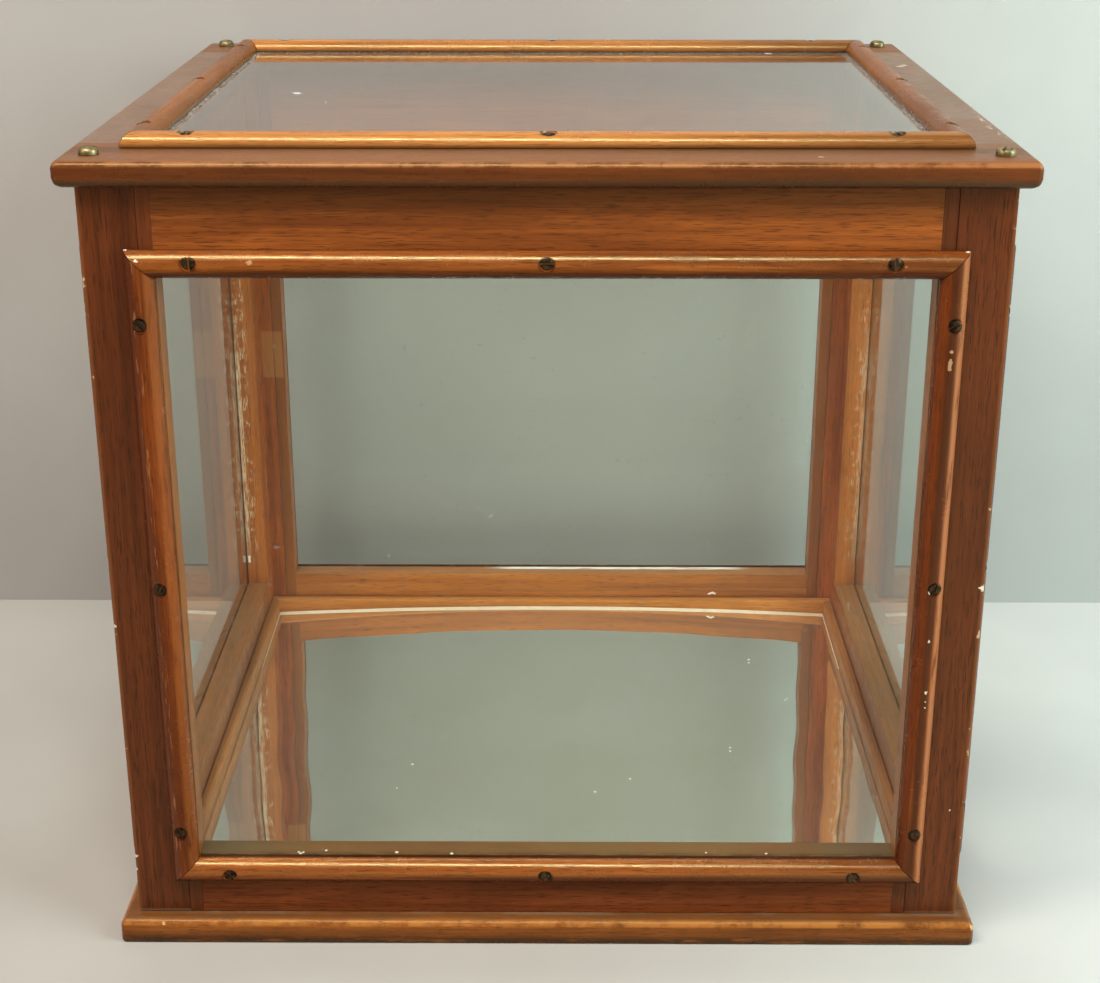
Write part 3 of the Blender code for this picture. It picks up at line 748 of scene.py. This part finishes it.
baseLook = {"topRound": 0.0045, "bottomRound": 0.0011, "cornerRound": 0.003, "leastRound": 0.0002,
            "topSteps": 6, "bottomSteps": 2, "cornerSteps": 5}


def roundedRing(bm, half, inset, z):
    steps = baseLook["cornerSteps"]
    radius = max(baseLook["cornerRound"] - inset, baseLook["leastRound"])
    ring = []
    for quarter, (signX, signY) in enumerate(((1, 1), (-1, 1), (-1, -1), (1, -1))):
        for step in range(steps + 1):
            angle = math.pi / 2 * (quarter + step / steps)
            x = signX * (half.x - inset - radius) + radius * math.cos(angle)
            y = signY * (half.y - inset - radius) + radius * math.sin(angle)
            ring.append(bm.verts.new((x, y, z)))
    return ring


def makeBase():  # its lower edge is crisper than the solid's
    low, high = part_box("base_board")
    bottomRound = baseLook["bottomRound"]
    topRound = baseLook["topRound"]
    profile = []
    for step in range(baseLook["bottomSteps"] + 1):
        angle = math.pi / 2 * step / baseLook["bottomSteps"]
        profile.append((bottomRound * (1 - math.sin(angle)), low.z + bottomRound * (1 - math.cos(angle))))
    for step in range(baseLook["topSteps"] + 1):
        angle = math.pi / 2 * step / baseLook["topSteps"]
        profile.append((topRound * (1 - math.cos(angle)), high.z - topRound * (1 - math.sin(angle))))
    bm = bmesh.new()
    skinRings(bm, [roundedRing(bm, (high - low) / 2, inset, z) for inset, z in profile])
    piece = newPiece("base_board_dressed", bm, [woods["base"]])
    piece.modifiers.new("evenShading", "WEIGHTED_NORMAL").keep_sharp = True
    finishPiece(piece, "case", "base_wood", "base_board")


def dressFrame():
    makeBase()
    for corner in ("front_left", "front_right", "back_right", "back_left"):
        dressNode("post_" + corner, "post", "post_wood", softEdge["post"])
    for side in sideNames:
        crosswise = side in ("left", "right")
        topWood = "topRailY" if crosswise else "topRailX"
        lowWood = {"front": "lowRailX", "back": "backRail"}.get(side, "lowRailY")
        filletWood = "filletY" if crosswise else "filletX"
        grow = (0, tightJoint, 0) if crosswise else (tightJoint, 0, 0)
        dressNode(side + "_top_rail", topWood, "rail_wood", softEdge["joint"], grow=grow)
        dressNode(side + "_bottom_rail", lowWood, "rail_wood", softEdge["joint"], grow=grow)
        for hand in ("left", "right"):
            dressNode(side + "_lining_" + hand, "lining", "lining_wood", softEdge["joint"], grow=grow)
        dressNode(side + "_mirror_fillet", filletWood, "fillet_wood", softEdge["fillet"])
    for edge, lidWood in (("front", "lidX"), ("back", "lidX"), ("left", "lidY"), ("right", "lidY")):
        dressNode("lid_rail_" + edge, lidWood, "lid_wood", softEdge["lid"], "lid")


dressFrame()
print("frame, linings, fillets and lid rails dressed")


# half-round beads, each with three countersunk seats for its screws
beadLook = {
    "rows": 64,  # rings along a bead
    "steps": 24,  # facets round the half circle
    "sharperThan": 40,
    "screwFromEnd": (0.029, 0.033),
    "screwFromEdge": 0.0053,
    "screwShift": 0.0009,  # how far a screw strays by hand along the bead
    "crossShare": 0.4,  # and how much of that across it
    "seatRadius": 0.0032,
    "seatFlare": 0.0006,
    "seatSides": 28,
    "seatHeight": 0.0050,  # floor of the seat above the bead's back
    "handSeed": 7,
}
proudWay = {"front": (1, -1), "back": (1, 1), "left": (0, -1), "right": (0, 1), "lid": (2, 1)}  # axis, sign
screwSeats = {"case": [], "lid": []}  # points and normals for the bead screws
handOffset = random.Random(beadLook["handSeed"])


def beadPlace(nodeName, panel):
    low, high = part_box(nodeName)
    size = high - low
    proudAxis, proudSign = proudWay[panel]
    others = [axis for axis in range(3) if axis != proudAxis]
    along = max(others, key=lambda axis: size[axis])
    across = min(others, key=lambda axis: size[axis])
    back = low[proudAxis] if proudSign > 0 else high[proudAxis]
    middle = (low + high) / 2
    paneLow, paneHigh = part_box(panel + "_glass")
    inward = 1 if (paneLow[across] + paneHigh[across]) / 2 > middle[across] else -1
    outer = low[across] if inward > 0 else high[across]

    def point(s, w, h):  # along, in from the outer edge, up from the back
        place = Vector((0, 0, 0))
        place[along] = middle[along] + s
        place[across] = outer + inward * w
        place[proudAxis] = back + proudSign * h
        return place

    normal = Vector((0, 0, 0))
    normal[proudAxis] = proudSign
    return point, normal, size[along], size[across], size[proudAxis], along


def beadBmesh(point, length, width, height):
    bm = bmesh.new()
    crest = bm.verts.layers.float.new("crest")
    rings = []
    for row in range(beadLook["rows"] + 1):
        t = 2 * row / beadLook["rows"] - 1
        ring = []
        for step in range(beadLook["steps"] + 1):
            angle = math.pi * step / beadLook["steps"]
            w = width / 2 * (1 - math.cos(angle))
            h = height * math.sin(angle)
            vert = bm.verts.new(point(t * (length / 2 - w), w, h))  # the ends are mitred
            vert[crest] = h / height
            ring.append(vert)
        rings.append(ring)
    skinRings(bm, rings)
    return bm


def seatCutter(seats, normal, height):
    bm = bmesh.new()
    depth = 2 * (height - beadLook["seatHeight"])
    floorRadius = beadLook["seatRadius"]
    turn = Vector((0, 0, 1)).rotation_difference(normal).to_matrix().to_4x4()
    for seat in seats:
        made = bmesh.ops.create_cone(bm, cap_ends=True, segments=beadLook["seatSides"], radius1=floorRadius,
                                     radius2=floorRadius + beadLook["seatFlare"], depth=depth)
        bmesh.ops.transform(bm, matrix=turn, verts=made["verts"])
        bmesh.ops.translate(bm, vec=seat + normal * depth / 2, verts=made["verts"])
    return newPiece("seatCutter", bm, [])


def makeBead(nodeName, panel, body):
    point, normal, length, width, height, along = beadPlace(nodeName, panel)
    woodName = "lidBeadX" if panel == "lid" and along == 0 else "bead" + "XYZ"[along]
    piece = newPiece(nodeName + "_dressed", beadBmesh(point, length, width, height), [woods[woodName]])
    fromStart, fromEnd = beadLook["screwFromEnd"]
    seats = []
    for s in (fromStart - length / 2, 0.0, length / 2 - fromEnd):
        stray, crossStray = [handOffset.uniform(-1, 1) * beadLook["screwShift"] for _ in range(2)]
        w = beadLook["screwFromEdge"] + beadLook["crossShare"] * crossStray
        seats.append(point(s + stray, w, beadLook["seatHeight"]))
    screwSeats[body] += [(seat, normal) for seat in seats]
    cutAway(piece, seatCutter(seats, normal, height), beadLook["sharperThan"])
    piece.data.name = piece.name
    finishPiece(piece, body, "bead_wood", nodeName)


for panelName in sideNames:
    for beadEdge in ("top", "bottom", "left", "right"):
        makeBead(panelName + "_bead_" + beadEdge, panelName, "case")
for beadEdge in sideNames:
    makeBead("lid_bead_" + beadEdge, "lid", "lid")
print("beads made, with", sum(len(found) for found in screwSeats.values()), "screw seats")


# dark slotted screws in the beads, by Geometry Nodes
beadScrewLook = {"Head Radius": 0.0030, "Crown Height": 0.0009, "Slot Width": 0.0010, "Slot Depth": 0.0011,
                 "Seed": 5}
beadScrewFacets = {"Segments": 28, "Rings": 10}


def beadScrewTree():
    tree = bpy.data.node_groups.new("beadScrews", "GeometryNodeTree")
    sockets = tree.interface
    sockets.new_socket("Seats", in_out="INPUT", socket_type="NodeSocketGeometry")
    for name in ("Head Radius", "Crown Height", "Slot Width", "Slot Depth"):
        sockets.new_socket(name, in_out="INPUT", socket_type="NodeSocketFloat")
    sockets.new_socket("Seed", in_out="INPUT", socket_type="NodeSocketInt")
    sockets.new_socket("Finish", in_out="INPUT", socket_type="NodeSocketMaterial")
    sockets.new_socket("Screws", in_out="OUTPUT", socket_type="NodeSocketGeometry")
    outputs = addNode(tree, "NodeGroupInput").outputs
    given = {socket.name: Field(tree, socket) for socket in outputs if socket.name}
    add = given["Seats"].make
    radius = given["Head Radius"]
    crown = given["Crown Height"]
    ball = add("GeometryNodeMeshUVSphere", {**beadScrewFacets, "Radius": 1.0})
    headSize = add("ShaderNodeCombineXYZ", {0: radius, 1: radius, 2: crown})
    head = add("GeometryNodeTransform", {"Geometry": ball, "Scale": headSize})
    slotSize = {0: radius * 3.0, 1: given["Slot Width"], 2: given["Slot Depth"] * 2.0}
    slotBox = add("GeometryNodeMeshCube", {"Size": add("ShaderNodeCombineXYZ", slotSize)})
    slotPlace = add("ShaderNodeCombineXYZ", {2: crown})
    slot = add("GeometryNodeTransform", {"Geometry": slotBox, "Translation": slotPlace})
    parts = {"Mesh 1": head, "Mesh 2": slot}
    slotted = add("GeometryNodeMeshBoolean", parts, operation="DIFFERENCE", solver="EXACT")
    normalName = {"Name": "seatNormal"}
    normal = add("GeometryNodeInputNamedAttribute", normalName, "Attribute", data_type="FLOAT_VECTOR")
    facing = add("FunctionNodeAlignRotationToVector", {"Vector": normal}, axis="Z")
    halfTurn = {3: math.pi, "Seed": given["Seed"]}  # a slot looks the same after half a turn
    turn = add("FunctionNodeRandomValue", halfTurn, 1, data_type="FLOAT")
    spin = add("FunctionNodeAxisAngleToRotation", {"Axis": (0, 0, 1), "Angle": turn})
    both = {"Rotation": facing, "Rotate By": spin}
    turned = add("FunctionNodeRotateRotation", both, rotation_space="LOCAL")
    seated = {"Points": given["Seats"], "Instance": slotted, "Rotation": turned}
    real = add("GeometryNodeRealizeInstances", {"Geometry": add("GeometryNodeInstanceOnPoints", seated)})
    finish = add("GeometryNodeSetMaterial", {"Geometry": real, "Material": given["Finish"]})
    addNode(tree, "NodeGroupOutput", {0: finish})
    return tree


def makeBeadScrews(tree, body):
    mesh = bpy.data.meshes.new(body + "_bead_screws")
    mesh.from_pydata([seat for seat, _ in screwSeats[body]], [], [])
    facing = mesh.attributes.new("seatNormal", "FLOAT_VECTOR", "POINT")
    for index, (_, normal) in enumerate(screwSeats[body]):
        facing.data[index].vector = normal
    piece = bpy.data.objects.new(body + "_bead_screws", mesh)
    bpy.context.scene.collection.objects.link(piece)
    modifier = piece.modifiers.new("screws", "NODES")
    modifier.node_group = tree
    values = {**beadScrewLook, "Finish": darkSteel}
    for item in tree.interface.items_tree:
        if item.in_out == "INPUT" and item.name in values:
            modifier[item.identifier] = values[item.name]
    applyModifiers(piece)
    smoothMesh(piece.data, 35)
    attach(piece, body)


screwTree = beadScrewTree()
for screwBody in ("case", "lid"):
    makeBeadScrews(screwTree, screwBody)
print("bead screws placed")


# brass corner screws with a cut thread
cornerScrewLook = {
    "slotAngles": {"front_left": 8, "front_right": 62, "back_right": 20, "back_left": 170},
    "around": 40,
    "domeSteps": 12,
    "headSquareness": 0.66,
    "underHead": 0.0002,  # clear of the lid
    "slotWidth": 0.0011,
    "slotDepth": 0.0013,
    "shankRadius": 0.0024,
    "plainLength": 0.011,
    "pointLength": 0.007,
    "tipRadius": 0.0002,
    "leastRadius": 0.0001,
    "threadPitch": 0.0022,
    "threadDepth": 0.00055,
    "threadSharpness": 0.7,
    "ringsPerPitch": 8,
    "sharperThan": 40,
}


def screwLevels(low, high):  # radius, height and whether the thread is cut there, from the crown to the point
    look = cornerScrewLook
    seat = caseSize["lidTop"] + look["underHead"]
    headRadius = (high.x - low.x) / 2
    shankRadius = look["shankRadius"]
    threadTop = seat - look["plainLength"]
    threadLength = threadTop - low.z
    levels = []
    for step in range(look["domeSteps"] + 1):
        angle = math.pi / 2 * (1 - step / look["domeSteps"])
        across = math.cos(angle) ** look["headSquareness"]
        upward = math.sin(angle) ** look["headSquareness"]
        levels.append((max(headRadius * across, look["leastRadius"]), seat + (high.z - seat) * upward, False))
    levels.append((shankRadius, seat - look["leastRadius"], False))
    levels.append((shankRadius, threadTop, False))
    rings = int(threadLength / look["threadPitch"] * look["ringsPerPitch"])
    for ring in range(1, rings + 1):
        z = threadTop - threadLength * ring / rings
        taper = min(1.0, (z - low.z) / look["pointLength"])
        levels.append((max(shankRadius * taper, look["tipRadius"]), z, True))
    return levels


def slotCutter(centre, headRadius, angle):
    look = cornerScrewLook
    bm = bmesh.new()
    bmesh.ops.create_cube(bm, size=1)
    bmesh.ops.scale(bm, vec=(headRadius * 3, look["slotWidth"], look["slotDepth"] * 2), verts=bm.verts)
    turn = Vector((1, 0, 0)).rotation_difference(Vector((math.cos(angle), math.sin(angle), 0)))
    bmesh.ops.rotate(bm, cent=(0, 0, 0), matrix=turn.to_matrix(), verts=bm.verts)
    bmesh.ops.translate(bm, vec=centre, verts=bm.verts)
    return newPiece("slotCutter", bm, [])


def makeCornerScrew(corner):
    look = cornerScrewLook
    nodeName = "corner_screw_" + corner
    low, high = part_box(nodeName)
    axisX = (low.x + high.x) / 2
    axisY = (low.y + high.y) / 2
    bm = bmesh.new()
    rings = []
    for radius, z, threaded in screwLevels(low, high):
        ring = []
        for step in range(look["around"]):
            angle = 2 * math.pi * step / look["around"]
            r = radius
            if threaded:
                phase = (z / look["threadPitch"] + step / look["around"]) % 1.0
                depth = look["threadDepth"] * min(1.0, radius / look["shankRadius"])
                r = max(r - depth * abs(2 * phase - 1) ** look["threadSharpness"], look["leastRadius"])
            ring.append(bm.verts.new((axisX + r * math.cos(angle), axisY + r * math.sin(angle), z)))
        rings.append(ring)
    skinRings(bm, rings)
    piece = newPiece(nodeName + "_dressed", bm, [brass], look["sharperThan"])
    slotAngle = math.radians(look["slotAngles"][corner])
    cutAway(piece, slotCutter((axisX, axisY, high.z), (high.x - low.x) / 2, slotAngle), look["sharperThan"])
    finishPiece(piece, "screw_" + corner, "brass", nodeName)


for cornerName in cornerScrewLook["slotAngles"]:
    makeCornerScrew(cornerName)
print("corner screws made")


# panes of glass keep their solids
for paneName in ("front_glass", "right_glass", "back_glass", "left_glass", "lid_glass"):
    pane = nodes[paneName]
    pane.data.materials.clear()
    pane.data.materials.append(glass)
print("panes glazed")


# mirror floor, bowed up along its back edge
mirrorLook = {
    "columns": 110,
    "rows": 96,
    "bow": 0.0048,
    "lift": 0.0014,
    "flatShare": 0.25,  # of the depth, from the front
    "wave": 0.00005,
    "wavesAcross": 5.0,
    "wavesDeep": 4.0,
    "waveDrift": (0.6, 3.0),  # how far the waves wander, and how fast
    "brightRim": 0.0048,
    "sideRim": 0.0006,
    "sideRimFrom": 0.74,  # of the depth
}


def mirrorRise(u, v):  # shares of the width and depth
    look = mirrorLook
    back = max(0.0, (v - look["flatShare"]) / (1 - look["flatShare"]))
    rise = (look["lift"] + look["bow"] * (1 - (2 * u - 1) ** 2)) * back ** 3
    sway, pace = look["waveDrift"]
    wave = look["wave"] * math.sin(2 * math.pi * (look["wavesAcross"] * u + sway * math.sin(pace * v)))
    wave *= math.sin(2 * math.pi * look["wavesDeep"] * v + 1.0)
    return rise, wave


def makeMirror():
    low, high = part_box("mirror_floor")
    size = high - low
    look = mirrorLook
    lastRow = look["rows"] - 1
    lastColumn = look["columns"] - 1
    across = [column / look["columns"] for column in range(look["columns"] + 1)]
    across[1] = look["sideRim"] / size.x
    across[lastColumn] = 1 - look["sideRim"] / size.x
    deep = [row / look["rows"] for row in range(look["rows"] + 1)]
    deep[lastRow] = 1 - look["brightRim"] / size.y
    bm = bmesh.new()
    sheets = []
    for level in (high.z, low.z):
        sheet = []
        for v in deep:
            line = []
            for u in across:
                rise, wave = mirrorRise(u, v)
                line.append(bm.verts.new((low.x + u * size.x, low.y + v * size.y, level + rise + wave)))
            sheet.append(line)
        sheets.append(sheet)
    top, bottom = sheets
    for row in range(look["rows"]):
        for column in range(look["columns"]):
            corners = ((row, column), (row, column + 1), (row + 1, column + 1), (row + 1, column))
            face = bm.faces.new([top[r][c] for r, c in corners])
            besideRim = column in (0, lastColumn) and row > look["sideRimFrom"] * look["rows"]
            face.material_index = 1 if row == lastRow or besideRim else 0
            bm.faces.new([bottom[r][c] for r, c in (corners[0], corners[3], corners[2], corners[1])])
    rims = [(top[0], bottom[0]), (top[-1], bottom[-1])]
    for end in (0, -1):
        rims.append(([line[end] for line in top], [line[end] for line in bottom]))
    for upper, lower in rims:
        for index in range(len(upper) - 1):
            face = bm.faces.new((upper[index], upper[index + 1], lower[index + 1], lower[index]))
            face.material_index = 1
    bmesh.ops.recalc_face_normals(bm, faces=bm.faces)
    piece = newPiece("mirror_floor_dressed", bm, [mirrorSilver, groundEdge])
    finishPiece(piece, "case", "mirror", "mirror_floor")


makeMirror()
print("mirror laid")


# floor, backdrop, lights and camera
stageLook = {
    "floor": {"left": tone(183, 177, 168), "right": tone(214, 216, 210)},
    "wall": {"left": tone(184, 177, 171), "right": tone(198, 201, 195)},
    "turns": (-0.02, 0.36),  # where the cooler light of the right side takes over
    "mottle": 0.05,
    "dimLevels": (0.34, 0.02),  # painted shadow of the case: the backdrop is dimmer low down, behind it
    "dim": 0.14,
    "floorReach": 4,
    "floorGap": 0.0002,
    "wallY": 0.222,
    "wallReach": 3,
    "wallTop": 2.5,
}


def stageMaterial(name, tones, oneSided):
    material, tree, shader, place = newMaterial(name)
    x, _, z = place.split()
    color = x.ramp(*stageLook["turns"]).mix(tones["left"], tones["right"])
    # the backdrop gets a painted shadow of the case low down
    if oneSided:
        color = z.ramp(*stageLook["dimLevels"], 0.0, stageLook["dim"]).mix(color, black)
    color = place.noise(7.0, 3.0, 0.6).ramp(0.3, 0.7, 0.0, stageLook["mottle"]).mix(color, black)
    setInputs(tree, shader, {"Base Color": color, "Roughness": 0.9, "Specular IOR Level": 0.2})
    if oneSided:  # the backdrop hides neither the view from behind nor the lamp behind it
        behind = source(tree, "ShaderNodeNewGeometry", "Backfacing")
        share = anyOf([behind, *rays(tree, "Shadow", "Diffuse")])
        showThrough(tree, share, shader, addNode(tree, "ShaderNodeBsdfTransparent"))
    return material


def stagePlane(name, corners, material):
    mesh = bpy.data.meshes.new(name)
    mesh.from_pydata(corners, [], [tuple(range(len(corners)))])
    mesh.materials.append(material)
    plane = bpy.data.objects.new(name, mesh)
    bpy.context.scene.collection.objects.link(plane)


def setStage():
    floorZ = cadBox[0][2] - stageLook["floorGap"]
    reach = stageLook["floorReach"]
    wide = stageLook["wallReach"]
    top = stageLook["wallTop"]
    floorCorners = ((-reach, -reach), (reach, -reach), (reach, reach), (-reach, reach))
    wallCorners = ((-wide, floorZ), (wide, floorZ), (wide, top), (-wide, top))
    floorFinish = stageMaterial("paleFloor", stageLook["floor"], False)
    wallFinish = stageMaterial("paleBackdrop", stageLook["wall"], True)
    stagePlane("floor", [(x, y, floorZ) for x, y in floorCorners], floorFinish)
    stagePlane("backdrop", [(x, stageLook["wallY"], z) for x, z in wallCorners], wallFinish)


lampLook = {
    "overhead": {"at": (-0.45, -1.0, 2.0), "size": (1.9, 0.28), "watts": 40, "tone": (1.0, 0.95, 0.88)},
    "windowRight": {"at": (1.7, -0.8, 1.1), "size": (1.2, 1.4), "watts": 38, "tone": (0.77, 0.97, 1.0)},
    "lampLeft": {"at": (-1.6, -1.0, 1.3), "size": (1.2, 1.2), "watts": 8, "tone": (1.0, 0.86, 0.76)},
    "behind": {"at": (-0.3, 1.5, 2.2), "size": (1.8, 0.8), "watts": 14, "tone": (1.0, 0.96, 0.92)},
}
lampAim = Vector((0, 0, 0.2))
roomLook = {"tone": (0.95, 0.97, 1.0, 1.0), "strengths": (0.2, 0.62)}  # as it lights, and as it is seen


def setLights():
    for lampName, look in lampLook.items():
        light = bpy.data.lights.new(lampName, "AREA")
        light.shape = "RECTANGLE"
        light.size, light.size_y = look["size"]
        light.energy = look["watts"]
        light.color = look["tone"]
        lamp = bpy.data.objects.new(lampName, light)
        lamp.location = look["at"]
        lamp.rotation_euler = (lampAim - Vector(look["at"])).to_track_quat("-Z", "Y").to_euler()
        bpy.context.scene.collection.objects.link(lamp)
    world = bpy.data.worlds.new("softRoom")
    bpy.context.scene.world = world
    world.use_nodes = True
    tree = world.node_tree
    seen = anyOf(rays(tree, "Camera", "Transmission"))
    setInputs(tree, tree.nodes["Background"], {"Color": roomLook["tone"],
                                               "Strength": seen.ramp(0.0, 1.0, *roomLook["strengths"])})


cameraLook = {"at": (0.00685, -0.97683, 0.53928), "pitchDown": 0.36399, "yaw": 0.00666, "focalPixels": 1862.3,
              "imageWidth": 1100, "sensor": 36.0}


def setCamera():
    camera = bpy.data.cameras.new("photoView")
    camera.sensor_width = cameraLook["sensor"]
    camera.lens = cameraLook["focalPixels"] / cameraLook["imageWidth"] * cameraLook["sensor"]
    cameraObject = bpy.data.objects.new("photoView", camera)
    cameraObject.location = cameraLook["at"]
    cameraObject.rotation_euler = (math.pi / 2 - cameraLook["pitchDown"], 0, cameraLook["yaw"])
    bpy.context.scene.collection.objects.link(cameraObject)
    bpy.context.scene.camera = cameraObject
    bpy.context.scene.view_settings.view_transform = "Standard"


setStage()
setLights()
setCamera()
print("stage, lights and camera set")
